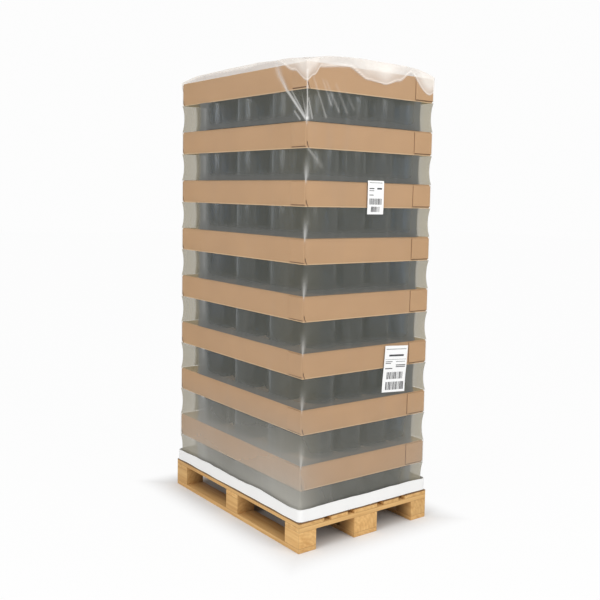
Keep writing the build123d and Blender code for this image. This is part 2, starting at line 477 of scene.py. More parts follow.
def make_brown_board():
    """Kraft liner with fine fibres, the faint print-through of the flutes, a pale cut edge with painted light
    along each tray's foot, and a painted highlight along its top fold.
    """
    material, tree, shader = new_material("brown_corrugated_board", {"Roughness": 0.75})
    place = object_place(tree)
    toned = mottle(tree, place, BOARD_BROWN, 5.0, 900.0, 0.14)
    spot = axes(tree, place)
    along = maths(tree, "ADD", spot[0], spot[1])
    flutes = maths(tree, "SINE", times(tree, along, 2 * math.pi / FLUTE_PITCH))
    normal = node(tree, "ShaderNodeNewGeometry").outputs["True Normal"]
    facing = axes(tree, normal)
    underside = ramp(tree, facing[2], -0.72, -0.5, 1.0, 0.0)
    cut = blend(tree, ramp(tree, flutes, -0.2, 0.5), CORE_BROWN, BOARD_BROWN)
    up = maths(tree, "WRAP", spot[2], TRAY_FOOT + TRAY_PITCH, TRAY_FOOT)
    # the lower edge is the board's pale cut edge with painted light on it; the upper edge is a painted highlight
    # on the fold
    low_edge_pale_and_lit = ramp(tree, up, TRAY_FOOT + 3 * MM, TRAY_FOOT + 5.5 * MM, 0.6, 0.0)
    top_fold_highlight = ramp(tree, up, TRAY_FOOT + TRAY_TALL - 4 * MM, TRAY_FOOT + TRAY_TALL - 1 * MM, 0.0, 0.4)
    edges_pale_and_lit = blend(tree, maths(tree, "ADD", low_edge_pale_and_lit, top_fold_highlight), toned["Color"], PALE_EDGE_AND_HIGHLIGHT_BROWN)
    feed(tree, shader, {"Base Color": blend(tree, underside, edges_pale_and_lit, cut)})
    height = maths(tree, "MULTIPLY_ADD", flutes, 0.25, toned["Grit"])
    bump(tree, shader, height, 0.25 * MM, 0.7)
    return material


brown_board = make_brown_board()
# painted shadow: the dark colour of the strips in the flap gaps and corner cuts
gap_shadow = make_matt("gap_shadow", screen(84, 58, 36), (20.0, 500.0, 0.2), 0.9)
print("boards", brown_board.name, gap_shadow.name)

# %% Tray shape
FOLD = 4 * MM
BOARD = 5 * MM
FLAP = 115 * MM
FLAP_MARGIN = 8 * MM
FLAP_BREAK = 2.6 * MM
wall_x, wall_y = tray_high.x - BOARD, tray_high.y - BOARD
print("tray walls", round(wall_x, 3), round(wall_y, 3), "out, and", round(TRAY_TALL, 3), "tall")


def along_and_out(turn):
    """Half a face's length, and how far the face lies out, for the face at a turn about Z."""
    return (wall_x, wall_y) if turn % 180 == 0 else (wall_y, wall_x)


def make_tray_shell():
    """The folded sheet: top and four walls, open below."""
    shell = add_box("tray_shell", (-wall_x, -wall_y, tray_low.z), (wall_x, wall_y, tray_high.z))
    pick(shell, lambda face: face.normal.z < -0.5)
    bpy.ops.mesh.delete(type="FACE")
    pick(shell, lambda edge: not edge.is_boundary, "EDGE")
    bpy.ops.mesh.bevel(offset=FOLD, segments=3, profile=0.5)
    slice_across(shell, 0, steps_between(-wall_x, wall_x, 50 * MM))
    slice_across(shell, 1, steps_between(-wall_y, wall_y, 50 * MM))
    slice_across(shell, 2, steps_between(tray_low.z, tray_high.z, 30 * MM))
    apply_modifier(shell, "SOLIDIFY", thickness=BOARD, offset=-1)
    shell.data.materials.append(brown_board)
    return shell


def make_flap(turn):
    """The glued flap at the right-hand end of one face, seen from outside."""
    along, out = along_and_out(turn)
    low = (along - FLAP, -out - BOARD, tray_low.z + FLAP_MARGIN)
    high = (along, -out, tray_high.z - FLAP_MARGIN)
    flap = add_box("tray_flap", low, high)
    pick(flap, lambda edge: direction(edge).z > 0.9 and edge_middle(edge).y < -out - BOARD / 2, "EDGE")
    bpy.ops.mesh.bevel(offset=FOLD * 0.8, segments=3)
    pick(flap, lambda edge: direction(edge).x > 0.9 and edge_middle(edge).y < -out - BOARD / 2
         and edge_middle(edge).z < tray_low.z + 2 * FLAP_MARGIN, "EDGE")
    bpy.ops.mesh.bevel(offset=FLAP_BREAK, segments=1)
    rest()
    slice_across(flap, 0, steps_between(along - FLAP, along, 25 * MM))
    flap.data.materials.append(brown_board)
    flap.data.transform(Matrix.Rotation(math.radians(turn), 4, "Z"))
    return flap


# %% Painted shadows in the gaps and cuts
GAP_UNDER, GAP_BESIDE = 2.4 * MM, 1.6 * MM
CUT_FOOT, CUT_TOP = tray_low.z + 1 * MM, tray_low.z + 30 * MM
CUT_WIDE = 3.5 * MM
CUT_LEAN = 11 * MM


def make_gap_shadows(turn):
    """Dark strips of painted shadow in the gaps under and beside one flap, and in the curved cut at the other
    end of the same wall.
    """
    along, out = along_and_out(turn)
    foot = tray_low.z + FLAP_MARGIN
    under = add_box("tray_gap_shadow", (along - FLAP, -out - 1.2 * MM, foot - GAP_UNDER), (along - BOARD, -out, foot))
    side = add_box("tray_gap_shadow", (along - FLAP - GAP_BESIDE, -out - 0.9 * MM, foot),
                   (along - FLAP, -out, tray_high.z - FLAP_MARGIN))
    start = -along + 2 * MM
    cut = add_box("tray_cut_shadow", (start, -out - 0.7 * MM, CUT_FOOT), (start + CUT_WIDE, -out, CUT_TOP))
    slice_across(cut, 2, steps_between(CUT_FOOT, CUT_TOP, 4 * MM))
    for point in cut.data.vertices:
        share = (point.co.z - tray_low.z) / (CUT_TOP - tray_low.z)
        point.co.x += CUT_LEAN * (1 - share) ** 2
    made = join([under, side, cut], "tray_gap_shadow")
    made.data.materials.append(gap_shadow)
    made.data.transform(Matrix.Rotation(math.radians(turn), 4, "Z"))
    return made


TURNS = (0, 90, 180, 270)
tray_parts = [make_tray_shell()] + [make_flap(turn) for turn in TURNS] + [make_gap_shadows(turn) for turn in TURNS]
tray_model = join(tray_parts, "tray_model")
print("tray", len(tray_model.data.polygons), "faces")


# %% Eight trays
LAYERS = range(1, 9)
BOW = 2.2 * MM


def held(value):
    """The value, kept between 0 and 1."""
    return min(1.0, max(0.0, value))


def bow_walls(tray, seed):
    """Bows the walls in by a few millimetres between the corners, each tray in its own way."""
    shift = Vector((seed * 3.7, seed * 1.3, 0))
    for point in tray.data.vertices:
        place = point.co
        foot = held((tray_high.z - place.z) / TRAY_TALL)
        wave = 0.5 + 0.5 * noise.noise(place * 2.4 + shift)
        for axis, wall in ((0, wall_x), (1, wall_y)):
            if abs(place[axis]) > wall - 3 * BOARD:
                ends = 1 - (abs(place[1 - axis]) / (wall_y if axis == 0 else wall_x)) ** 4
                place[axis] -= math.copysign(BOW * wave * foot * max(0.0, ends), place[axis])


def make_trays():
    """A tray in the place of each tray node."""
    made = []
    for number in LAYERS:
        name = f"tray_{number}"
        tray = copy_moved(tray_model, name + "_board", (0, 0, 0))
        bow_walls(tray, number)
        tray.data.transform(Matrix.Translation((0, 0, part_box(name)[0].z - tray_low.z)))
        smooth(tray)
        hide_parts(name)
        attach(tray, "root")
        made.append(tray)
    return made


trays = make_trays()
remove(tray_model)
print("trays", len(trays))

# %% [markdown]
# ## White tray on the pallet
# The white board's rim is turned up round the lowest jars. Real rims never stand straight, so the
# points of the upper edge are raised and pushed in by a slow noise, and the outer part of the
# board is lifted a little off the deck.

# %% White board
white_board = make_matt("white_lined_board", screen(242, 242, 241), (7.0, 600.0, 0.07), 0.6, (0.2 * MM, 0.5))
RIM_BOARD = 3 * MM
RIM_CORNER = 25 * MM
RIM_RISE, RIM_WAVE = 7, 7
OUTER_LIFT, OUTER_WAVE, OUTER_STRIP = 3.5, 3, 50 * MM
RIM_LEAN = 4 * MM


def make_base_tray():
    """The white tray, its rim uneven and leaning in here and there."""
    low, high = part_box("base_tray")
    tray = add_box("base_tray_board", low, high)
    pick(tray, lambda face: face.normal.z > 0.5)
    bpy.ops.mesh.delete(type="FACE")
    pick(tray, lambda edge: direction(edge).z > 0.9, "EDGE")
    bpy.ops.mesh.bevel(offset=RIM_CORNER, segments=6)
    rest()
    slice_across(tray, 0, steps_between(low.x, high.x, 15 * MM))
    slice_across(tray, 1, steps_between(low.y, high.y, 15 * MM))
    slice_across(tray, 2, [low.z + RIM_BOARD] + steps_between(low.z + RIM_BOARD, high.z, 12 * MM))
    apply_modifier(tray, "SOLIDIFY", thickness=RIM_BOARD, offset=-1, use_even_offset=True)
    for point in tray.data.vertices:
        place = point.co
        rise = max(0.0, (place.z - low.z - RIM_BOARD) / (high.z - low.z - RIM_BOARD))
        around = Vector((place.x * 5.0, place.y * 5.0, 0.3))
        wave = noise.noise(around * 0.8) + 0.35 * noise.noise(around * 3.3)
        lean = max(0.0, noise.noise(around * 0.7 + Vector((9, 4, 2))))
        outer = max(0.0, 1 - min(high.x - abs(place.x), high.y - abs(place.y)) / OUTER_STRIP)
        place.z += (RIM_RISE + RIM_WAVE * wave) * MM * rise
        place.z += (OUTER_LIFT + OUTER_WAVE * noise.noise(around * 1.6)) * MM * outer
        inward = Vector((place.x, place.y, 0)).normalized()
        place -= inward * RIM_LEAN * lean * rise * rise
    tray.data.materials.append(white_board)
    smooth(tray)
    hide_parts("base_tray")
    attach(tray, "root")
    return tray


base_tray = make_base_tray()
print("white tray", len(base_tray.data.polygons), "faces")

# %% [markdown]
# ## Glass jars
# One jar is drawn from the middle of its foot outwards, up the wall, over the lip and down the
# inside: a ring of points is extruded and resized again and again, as a glass mould would be
# turned. The layers are copies of it in the staggered pattern of the frame.

# %% Glass
def make_glass():
    """Clear glass with the grey that thick glass shows against the dark inside of the load."""
    sockets = {"Roughness": 0.2, "IOR": 1.45, "Transmission Weight": 1.0}
    material, tree, shader = new_material("jar_glass", sockets)
    toned = mottle(tree, object_place(tree), screen(141, 159, 178), 3.0, 40.0, 0.08)
    feed(tree, shader, {"Base Color": toned["Color"]})
    return material


jar_glass = make_glass()
print("glass", jar_glass.name)

# %% One jar
JAR_RADIUS = 83.5 * MM
NECK_RADIUS = 55 * MM
HEEL = 12 * MM
SHOULDER = 27 * MM
WALL = 3.5 * MM
RING_POINTS = 28
layer_low, layer_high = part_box("jar_layer_1")
JAR_HEIGHT = layer_high.z - layer_low.z
BODY_TOP = JAR_HEIGHT - 52 * MM
THREAD = JAR_HEIGHT - 20 * MM
# the thread and the lip: millimetres out from the neck and up from the thread
LIP_POINTS = ((0, -2), (2.5, 1), (0, 4), (2, 9), (0, 13), (-0.5, 19), (-2, 20), (-4, 18.5), (-4, -4))


def arc(centre, radius, start, end, count):
    """Points on an arc in the jar's section, as distances from its axis and heights."""
    angles = [math.radians(start + (end - start) * number / count) for number in range(count + 1)]
    return [(centre[0] + radius * math.cos(angle), centre[1] + radius * math.sin(angle)) for angle in angles]


def jar_section():
    """The jar's outline from the middle of the foot, up outside and down inside."""
    inner = JAR_RADIUS - WALL
    section = [(30 * MM, 5 * MM), (58 * MM, 3 * MM), (65 * MM, 0.0)]
    section += arc((JAR_RADIUS - HEEL, HEEL), HEEL, -90, 0, 4)
    section += arc((JAR_RADIUS - SHOULDER, BODY_TOP), SHOULDER, 0, 80, 5)
    section += [(NECK_RADIUS + out * MM, THREAD + up * MM) for out, up in LIP_POINTS]
    section += arc((inner - SHOULDER, BODY_TOP), SHOULDER - 1 * MM, 75, 0, 4)
    section += arc((inner - HEEL, HEEL + 6 * MM), HEEL, 0, -90, 3)
    return section + [(30 * MM, 10 * MM)]


def make_jar():
    """One jar on Z 0, turned out of a ring of points."""
    rest()
    section = jar_section()
    radius, level = section[0]
    bpy.ops.mesh.primitive_circle_add(vertices=RING_POINTS, radius=radius, fill_type="TRIFAN",
                                      location=(0, 0, level))
    jar = settle("jar_model")
    pick(jar, lambda edge: edge.is_boundary, "EDGE")
    for next_radius, next_level in section[1:]:
        rise = (0, 0, next_level - level)
        bpy.ops.mesh.extrude_edges_move(TRANSFORM_OT_translate={"value": rise})
        size = next_radius / radius
        bpy.ops.transform.resize(value=(size, size, 1))
        radius, level = next_radius, next_level
    bpy.ops.mesh.edge_face_add()
    bpy.ops.mesh.poke()
    bpy.ops.mesh.select_all(action="SELECT")
    bpy.ops.mesh.remove_doubles(threshold=0.01 * MM)
    bpy.ops.mesh.normals_make_consistent(inside=False)
    rest()
    smooth(jar, 50)
    return jar


jar_model = make_jar()
jar_model.data.materials.append(jar_glass)
print("jar", len(jar_model.data.polygons), "faces", [round(side, 4) for side in jar_model.dimensions])

# %% Eight layers
JAR_PITCH = 2 * JAR_RADIUS + 0.3 * MM
ROW_PITCH = 157 * MM
JAR_ROWS = 7
JARS_IN_ROW = 4


def jar_places():
    """Middles of one layer's jars: staggered rows, the end ones set back from the front."""
    made = []
    for row in range(JAR_ROWS):
        shift = JAR_PITCH * (-0.25 if row % 2 else 0.25)
        for place in range(JARS_IN_ROW):
            x = ((JAR_ROWS - 1) / 2 - row) * ROW_PITCH
            made.append((x, shift + (place - (JARS_IN_ROW - 1) / 2) * JAR_PITCH))
    return made


def make_layers():
    """A layer of jars in the place of each layer node."""
    copies = [copy_moved(jar_model, "jar", (x, y, 0)) for x, y in jar_places()]
    layer_model = join(copies, "layer_model")
    made = []
    for number in LAYERS:
        name = f"jar_layer_{number}"
        layer = copy_moved(layer_model, name + "_glass", (0, 0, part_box(name)[0].z))
        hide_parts(name)
        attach(layer, "root")
        made.append(layer)
    remove(layer_model)
    return made


layers = make_layers()
remove(jar_model)
print("layers", len(layers), "of", len(jar_places()), "jars,", len(layers[0].data.polygons), "faces each")

# %% [markdown]
# ## Shrink hood
# The film is one thin skin. Five grids make a box without a bottom, and each point is then moved to
# where shrunk film would lie: tight on the trays, drawn in between them, rounded at the corners,
# pleated where it was gathered, and loose and crumpled over the top. Attributes keep the painted
# highlight on its creases and corners, how milky and hazy the film is at each point, how it is toned
# beside a corner, and where painted shade darkens it near the corners and at the foot of each open band.
# The material reads them.

# %% Where the film lies
FILM_GAP = 0.8 * MM
DRAW = 5 * MM
GRID = 13.4 * MM
hood_low, hood_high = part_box("shrink_hood")
load_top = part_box("tray_8")[1].z
FILM_X, FILM_Y = hood_high.x - 0.2 * MM, hood_high.y - 0.2 * MM
tray_spans = [[corner.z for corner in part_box(f"tray_{number}")] for number in LAYERS]
ON_WALL = 0.1 * MM
print("film", round(FILM_X, 4), round(FILM_Y, 4), "out, from", round(hood_low.z, 3), "up to", round(load_top, 3))


def on_long_side(place):
    """Whether a place on the walls lies on the front or the back one."""
    return abs(place.y) > FILM_Y - ON_WALL


def on_right_side(place):
    """Whether a place lies on the right-hand wall."""
    return place.x > FILM_X - ON_WALL


def off_corner(place):
    """Distance along the walls from the nearest corner."""
    return FILM_X - abs(place.x) + FILM_Y - abs(place.y)


def between_trays(level):
    """0 on a tray, and up to 1 in the middle of the open jars between two trays."""
    floor = hood_low.z
    for foot, top in tray_spans:
        if level < foot:
            share = (level - floor) / (foot - floor)
            return math.sin(math.pi * held(share)) ** 0.75
        if level <= top:
            return 0.0
        floor = top
    return 0.0


def around(place):
    """Distance from the front right corner: back along the right wall, or as a minus to the left."""
    if place.x > FILM_X - abs(place.y + FILM_Y) or place.y > FILM_Y - ON_WALL:
        return place.y + FILM_Y
    return place.x - FILM_X


# %% Folds that meet at a corner
PINCH_LEVEL = tray_spans[6][1] + 12 * MM
PINCH_SPOT = 11 * MM
# start, end, widths in millimetres and strengths: places are around the walls and up from the pinch
FOLDS = (
    ((-0.012, 0.0), (-0.154, 0.130), (4, 8), (0.95, 0.6)),
    ((-0.154, 0.130), (-0.240, 0.232), (8, 19), (0.6, 0.28)),
    ((-0.012, 0.008), (-0.122, 0.130), (2.5, 4), (0.8, 0.3)),
    ((-0.004, 0.0), (-0.040, 0.110), (2.5, 4), (0.6, 0.1)),
    ((-0.050, -0.004), (-0.098, 0.036), (3, 4), (0.65, 0.3)),
    ((0.0, -0.006), (0.0, 0.210), (3, 4), (0.95, 0.5)),
    ((0.030, 0.0), (0.008, 0.088), (3, 3), (0.55, 0.4)),
    ((0.030, 0.190), (0.107, 0.012), (4, 5), (0.16, 0.26)),
    ((0.085, 0.175), (0.135, 0.069), (5, 5), (0.12, 0.24)),
    ((0.105, 0.170), (0.181, 0.042), (5, 6), (0.12, 0.22)),
    ((0.160, 0.160), (0.226, 0.042), (6, 6), (0.1, 0.18)),
    ((0.215, 0.140), (0.270, 0.060), (5, 6), (0.05, 0.12)),
    ((0.012, -0.136), (0.085, -0.207), (6, 12), (0.28, 0.1)),
)


def between(pair, share):
    """The value that lies a share of the way between two."""
    return pair[0] + (pair[1] - pair[0]) * share


def fold_strength(place):
    """How strongly the folds raise the film at a place on the walls, and how much painted highlight they carry,
    0 to 1.
    """
    here = Vector((around(place), place.z - PINCH_LEVEL))
    best = math.exp(-(here.length / PINCH_SPOT) ** 2)
    for start, end, widths, strengths in FOLDS:
        start, end = Vector(start), Vector(end)
        run = end - start
        share = held((here - start).dot(run) / run.length_squared)
        distance = (here - start - run * share).length / MM
        best = max(best, between(strengths, share) * math.exp(-(distance / between(widths, share)) ** 2))
    return best


# %% The loose top
# places around the walls, and how many millimetres the loose film hangs down there
DROOPS = ((-1.18, 10), (-0.9, 4), (-0.55, 8), (-0.25, 2), (-0.1, 38), (0.0, 88), (0.035, 62), (0.075, 28),
          (0.23, 22), (0.36, 52), (0.45, 60), (0.54, 42), (0.62, 14), (0.745, 84), (0.78, 70))


def droop(place):
    """How far the loose top of the hood hangs down over the top tray, at a place on the walls."""
    if place.y > FILM_Y - ON_WALL or place.x < -FILM_X + ON_WALL:
        return (34 + 30 * noise.noise(Vector((place.x * 5, place.y * 5, 1.7)))) * MM
    here = around(place)
    for (start, *drops), (end, drop) in zip(DROOPS, DROOPS[1:]):
        if start <= here <= end:
            share = (here - start) / (end - start)
            return between(drops + [drop], share * share * (3 - 2 * share)) * MM
    return DROOPS[0][1] * MM


def puff(place):
    """How far the film stands up above the top tray: little at the corners, most behind the middles."""
    corner = (abs(place.x) / FILM_X * abs(place.y) / FILM_Y) ** 4
    right = held(place.x / FILM_X) ** 4
    lumps = 1 + 0.16 * noise.noise(Vector((place.x * 7, place.y * 7, 5.0)))
    return (3 + (28 + 10 * right) * (1 - corner) * lumps) * MM


def loose_top(place):
    """How white the loose part is at a place on the walls: 0 below its edge, bright along its edge."""
    above = (place.z - (load_top - droop(place))) / MM + 2 * noise.noise(place * 22)
    mist = 0.5 + 0.35 * noise.noise(Vector((place.x * 9, place.y * 9, place.z * 14)))
    body = (0.3 * held(above / 5) + 0.35 * held(above / 45)) * (0.6 + 0.8 * mist)
    rim = 0.3 * math.exp(-((above - 5) / 4) ** 2)
    return max(0.0, body + rim)


# %% Milky parts of the film
def low_haze(place):
    """How hazy the film is low on the load: most on the long sides, and least at the right-hand end."""
    level = held(1 - (place.z - 0.15) / 0.52) + 0.06 * held((1.2 - place.z) / 0.6)
    side = math.copysign(1, place.y) * place.x
    long_side = 0.52 - 0.2 * side / FILM_X
    near = FILM_Y + math.copysign(1, place.x) * place.y
    short_side = 0.14 + 0.5 * math.exp(-near / 0.11) + 0.2 * math.exp(-(2 * FILM_Y - near) / 0.11)
    slow = 0.95 + 0.25 * noise.noise(Vector((place.x * 2.5, place.y * 2.5, place.z * 1.5)))
    return level * (long_side if on_long_side(place) else short_side) * slow


# %% Light caught where the film turns a corner
GLEAM_UP, GLEAM_DOWN, GLEAM_WIDE = 62 * MM, 14 * MM, 5 * MM


def corner_gleam(place):
    """White of the film pulled tight over a tray's top corner and up from it, 0 to 1."""
    best = 0.0
    for number, (_, top) in enumerate(tray_spans[:-1]):
        rise = place.z - top
        reach = GLEAM_UP if rise > 0 else GLEAM_DOWN
        width = GLEAM_WIDE + 0.2 * max(0.0, rise)
        fade = (rise / reach) ** 2 + (off_corner(place) / width) ** 2
        best = max(best, (0.3 + 0.04 * number) * math.exp(-fade))
    return best


# %% Hood surface
CORNER_TIGHT, CORNER_OPEN = 8 * MM, 17 * MM
RIPPLE, FOLD_RISE, PUCKER = 0.8 * MM, 3 * MM, 4 * MM
CRUMPLE = 14 * MM


def shape_wall(place):
    """Where a point of the walls lies on the shrunk film, and the painted highlight of its folds and corner
    gleam.
    """
    open_part = between_trays(place.z)
    inset = DRAW * open_part
    radius = between((CORNER_TIGHT, CORNER_OPEN), open_part)
    half = Vector((FILM_X - inset, FILM_Y - inset))
    spot = Vector((place.x * half.x / FILM_X, place.y * half.y / FILM_Y))
    core = Vector((max(-half.x + radius, min(half.x - radius, spot.x)),
                   max(-half.y + radius, min(half.y - radius, spot.y))))
    out = (spot - core).normalized()
    fold = fold_strength(place)
    streak = noise.noise(Vector((around(place) * 15.0, place.z * 1.6, 0.0)))
    loose = held((place.z - load_top + droop(place)) / (30 * MM))
    pucker = PUCKER * loose * (1 + noise.noise(Vector((place.x * 13, place.y * 13, place.z * 14))))
    spot = core + out * (radius + RIPPLE * streak * open_part + FOLD_RISE * fold + pucker)
    rise = held((place.z - load_top + 50 * MM) / (50 * MM)) ** 1.5
    return Vector((spot.x, spot.y, place.z + puff(place) * rise)), max(fold, corner_gleam(place))


def shape_top(place):
    """Where a point of the top lies: puffed up round the edges, and crumpled in the middle."""
    edge = min(FILM_X - abs(place.x), FILM_Y - abs(place.y))
    near_edge = math.exp(-(edge / 0.13) ** 2)
    crumple = 1 - abs(noise.noise(Vector((place.x * 5.2, place.y * 6.4, 3.0)))) * 2.6
    fine = 1 - abs(noise.noise(Vector((place.x * 16.0, place.y * 15.0, 7.0)))) * 2
    folds = max(0.0, 0.6 * crumple + 0.3 * fine) * held(edge / 0.05)
    rise = puff(place) * (0.3 + 0.7 * near_edge) + CRUMPLE * folds * (1 - 0.7 * near_edge)
    # the second value is the painted highlight on the crumpled folds
    return Vector((place.x, place.y, load_top + FILM_GAP + rise)), 0.45 * held(folds - 0.62)


# %% Film tones and painted shade beside the corners
LONG_SIDE_SHARE = 0.43
WARM_REACH, BACK_WARM_REACH = 0.1, 0.15
TOP_EDGE = 12 * MM
# distances from a corner where a tone or a painted shade starts to change, and over how much it does
SHADE_STRIP_START, SHADE_STRIP_END, FOOT_SHADE_START = (80 * MM, 12 * MM), (118 * MM, 22 * MM), (85 * MM, 30 * MM)


def past(reach, limit):
    """0 before the start of a change, and 1 after its end."""
    return held((reach - limit[0]) / limit[1])


def marks(place, inner):
    """The film's marks at a place, each 0 to 1: all but the painted highlight of its creases, with painted shade
    in edge and foot.
    """
    above = past(place.z, (load_top - TOP_EDGE, TOP_EDGE))
    reach = off_corner(place) * (LONG_SIDE_SHARE if on_long_side(place) else 1.0)
    front_right = place.x > 0 > place.y
    back_right = 0.8 if on_right_side(place) and place.y > 0 else 0.0
    warm = (0.2 if front_right else 1.0) * math.exp(-(reach / WARM_REACH) ** 6)
    shade_strip = past(reach, SHADE_STRIP_START) * (1 - past(reach, SHADE_STRIP_END))
    return {
        "milk": 0.42 if inner else loose_top(place) * (1 - 0.15 * above),
        "haze": 0.0 if inner else low_haze(place),
        "warm": max(warm, back_right * math.exp(-(reach / BACK_WARM_REACH) ** 6)),
        # foot says where the painted shade at the foot of each open band is drawn; edge is a strip of painted
        # shade over the jars some way in from the corners
        "foot": 1.0 if front_right else past(reach, FOOT_SHADE_START),
        "edge": shade_strip * (0.0 if front_right else 0.8 if place.x * place.y > 0 else 0.4),
    }


# %% Where the mesh is finer
CROWN_FOOT = load_top - 100 * MM
PINCH_FOOT = PINCH_LEVEL - 20 * MM


def in_crown(face):
    """Whether a face lies where the loose top of the hood ends."""
    return abs(face.normal.z) < 0.5 and face.calc_center_median().z > CROWN_FOOT


def in_streak(middle):
    """Whether a place lies on the streak below the pinch."""
    return on_right_side(middle) and middle.y + FILM_Y < 0.12 and middle.z > PINCH_LEVEL - 0.24


def near_pinch(face):
    """Whether a face lies among the folds at the near corner, below the loose top."""
    middle = face.calc_center_median()
    beside = middle.x - FILM_X > -0.26 and middle.y < -FILM_Y + ON_WALL
    behind = on_right_side(middle) and middle.y + FILM_Y < 0.29
    if middle.z < PINCH_FOOT:
        return in_streak(middle)
    return (beside or behind) and middle.z < CROWN_FOOT


def near_corner(face):
    """Whether a face lies beside a corner, below the folds."""
    middle = face.calc_center_median()
    return off_corner(middle) < 30 * MM and middle.z < PINCH_FOOT and not in_streak(middle)


# %% The hood
WALLS = (("front", FILM_X, 0, -FILM_Y, 0), ("back", FILM_X, 0, FILM_Y, 180),
         ("right", FILM_Y, FILM_X, 0, 90), ("left", FILM_Y, -FILM_X, 0, -90))


def film_grid(name, size, centre, turn):
    """A flat grid of the film's mesh size, turned by degrees."""
    cuts = [max(2, round(side / GRID)) for side in size]
    return add_grid(name, size, cuts, centre, [math.radians(part) for part in turn])


def make_hood():
    """The film over the whole load, open at its foot."""
    foot, top = hood_low.z, load_top + FILM_GAP
    sides = [film_grid(name, (2 * half, top - foot), (x, y, (foot + top) / 2), (90, 0, turn))
             for name, half, x, y, turn in WALLS]
    sides.append(film_grid("top", (2 * FILM_X, 2 * FILM_Y), (0, 0, top), (0, 0, 0)))
    hood = join(sides, "shrink_hood_film")
    pick(hood, lambda point: True, "VERT")
    bpy.ops.mesh.remove_doubles(threshold=0.5 * MM)
    for test in (in_crown, near_pinch, near_corner):
        pick(hood, test)
        bpy.ops.mesh.subdivide(number_cuts=2)
    rest()
    values = []
    for point in hood.data.vertices:
        inner = abs(point.co.x) < FILM_X - ON_WALL and not on_long_side(point.co)
        found = marks(point.co, inner)
        point.co, found["crease_highlight"] = shape_top(point.co) if inner else shape_wall(point.co)
        values.append(found)
    for name in values[0]:
        numbers = [found[name] for found in values]
        hood.data.attributes.new(name, "FLOAT", "POINT").data.foreach_set("value", numbers)
    return hood


# %% Film
OPEN_TALL = tray_spans[1][0] - tray_spans[0][1]


def lay_over(tree, under, over):
    """Lays one see-through coat over another. Each is a colour and how much it hides, 0 to 1."""
    clear = maths(tree, "SUBTRACT", 1.0, over[1])
    total = maths(tree, "MULTIPLY_ADD", under[1], clear, over[1])
    share = maths(tree, "DIVIDE", over[1], maths(tree, "MAXIMUM", total, 0.001))
    return blend(tree, share, under[0], over[0]), total


def make_film():
    """Clear film: grey where it hangs free, nearly clear on the trays, white where milky, with painted
    highlights on creases and painted shade near the corners and at the foot of each open band.
    """
    material, tree, shader = new_material("clear_shrink_film", {"Roughness": 0.42})
    # crease_highlight is the painted highlight on folds, crumples, the pinch and the tray corners
    crease_highlight, milky, hazy, warm, edge, low = [
        node(tree, "ShaderNodeAttribute", attribute_name=name).outputs["Fac"]
        for name in ("crease_highlight", "milk", "haze", "warm", "edge", "foot")]
    place = object_place(tree)
    level = axes(tree, place)[2]
    above = maths(tree, "WRAP", level, tray_spans[0][1] + TRAY_PITCH, tray_spans[0][1])
    above = maths(tree, "SUBTRACT", above, tray_spans[0][1])
    under_tray = ramp(tree, above, OPEN_TALL - 1 * MM, OPEN_TALL + 1 * MM, 1.0, 0.0)
    under_top = ramp(tree, level, load_top - 3 * MM, load_top - 1 * MM, 1.0, 0.0)
    hanging = times(tree, under_tray, under_top)
    # painted shade: darker, denser film at the foot of each open band, where the tray's top lies in shade
    foot = times(tree, ramp(tree, above, 0.01, 0.058, 0.68, 0.0), low)
    foot = times(tree, foot, hanging)
    streaks = cloud(tree, object_place(tree, scale=(7.0, 7.0, 0.9)), 3.0, 3.0, 0.55)
    streaks = ramp(tree, streaks, 0.5, 0.9, 0.0, 0.07)
    tint = blend(tree, warm, screen(128, 130, 121), screen(150, 138, 101))
    coat = tint, maths(tree, "MULTIPLY_ADD", hanging, maths(tree, "MULTIPLY_ADD", warm, 0.2, 0.26), 0.06)
    # the first two coats are painted shade: the dark strip near the corners and the dark foot of each open band
    for over in ((screen(88, 90, 87), times(tree, edge, hanging)), (screen(78, 79, 76), foot),
                 (screen(200, 198, 192), streaks), (screen(207, 204, 195), hazy),
                 (screen(255, 249, 241), milky), (screen(250, 249, 247), times(tree, crease_highlight, 0.75))):
        coat = lay_over(tree, coat, over)
    toned = mottle(tree, place, coat[0], 5.0, 90.0, 0.06)
    feed(tree, shader, {"Base Color": toned["Color"], "Alpha": maths(tree, "MINIMUM", coat[1], 0.96)})
    wrinkles = cloud(tree, object_place(tree, scale=(1, 1, 0.35)), 34.0, 3.0, 0.5)
    bump(tree, shader, wrinkles, 3 * MM, 0.25)
    return material


hood = make_hood()
hood.data.materials.append(make_film())
smooth(hood, 60)
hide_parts("shrink_hood")
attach(hood, "root")
print("hood", len(hood.data.polygons), "faces")

# %% [markdown]
# ## Paper labels
# Both labels are stuck on the film, so they follow it. Their print is left generic: plain lines and
# rows of plain bars in the place of any words.

# %% Labels
paper = make_matt("label_paper", screen(244, 244, 243), (12.0, 900.0, 0.04), 0.55, (0.1 * MM, 0.4))
ink = make_matt("label_print", screen(62, 62, 64), (60.0, 1500.0, 0.3), 0.6)
PAPER, PAPER_LIFT, INK_LIFT = 0.2 * MM, 0.5 * MM, 0.62 * MM
LABEL_TURN = {"label_upper": 0.0, "label_lower": math.radians(-4)}
LABEL_SIZE = {"label_upper": (100 * MM, 160 * MM), "label_lower": (150 * MM, 232 * MM)}


def on_film(node_name, right, up, lift):
    """The place on the film of a point on a label, right and up from the label's middle."""
    low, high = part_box(node_name)
    turn = LABEL_TURN[node_name]
    y = (low.y + high.y) / 2 + right * math.cos(turn) - up * math.sin(turn)
    z = (low.z + high.z) / 2 + right * math.sin(turn) + up * math.cos(turn)
    settled = DRAW * between_trays(z) * 0.6
    return Vector((FILM_X - settled + lift, y, z))


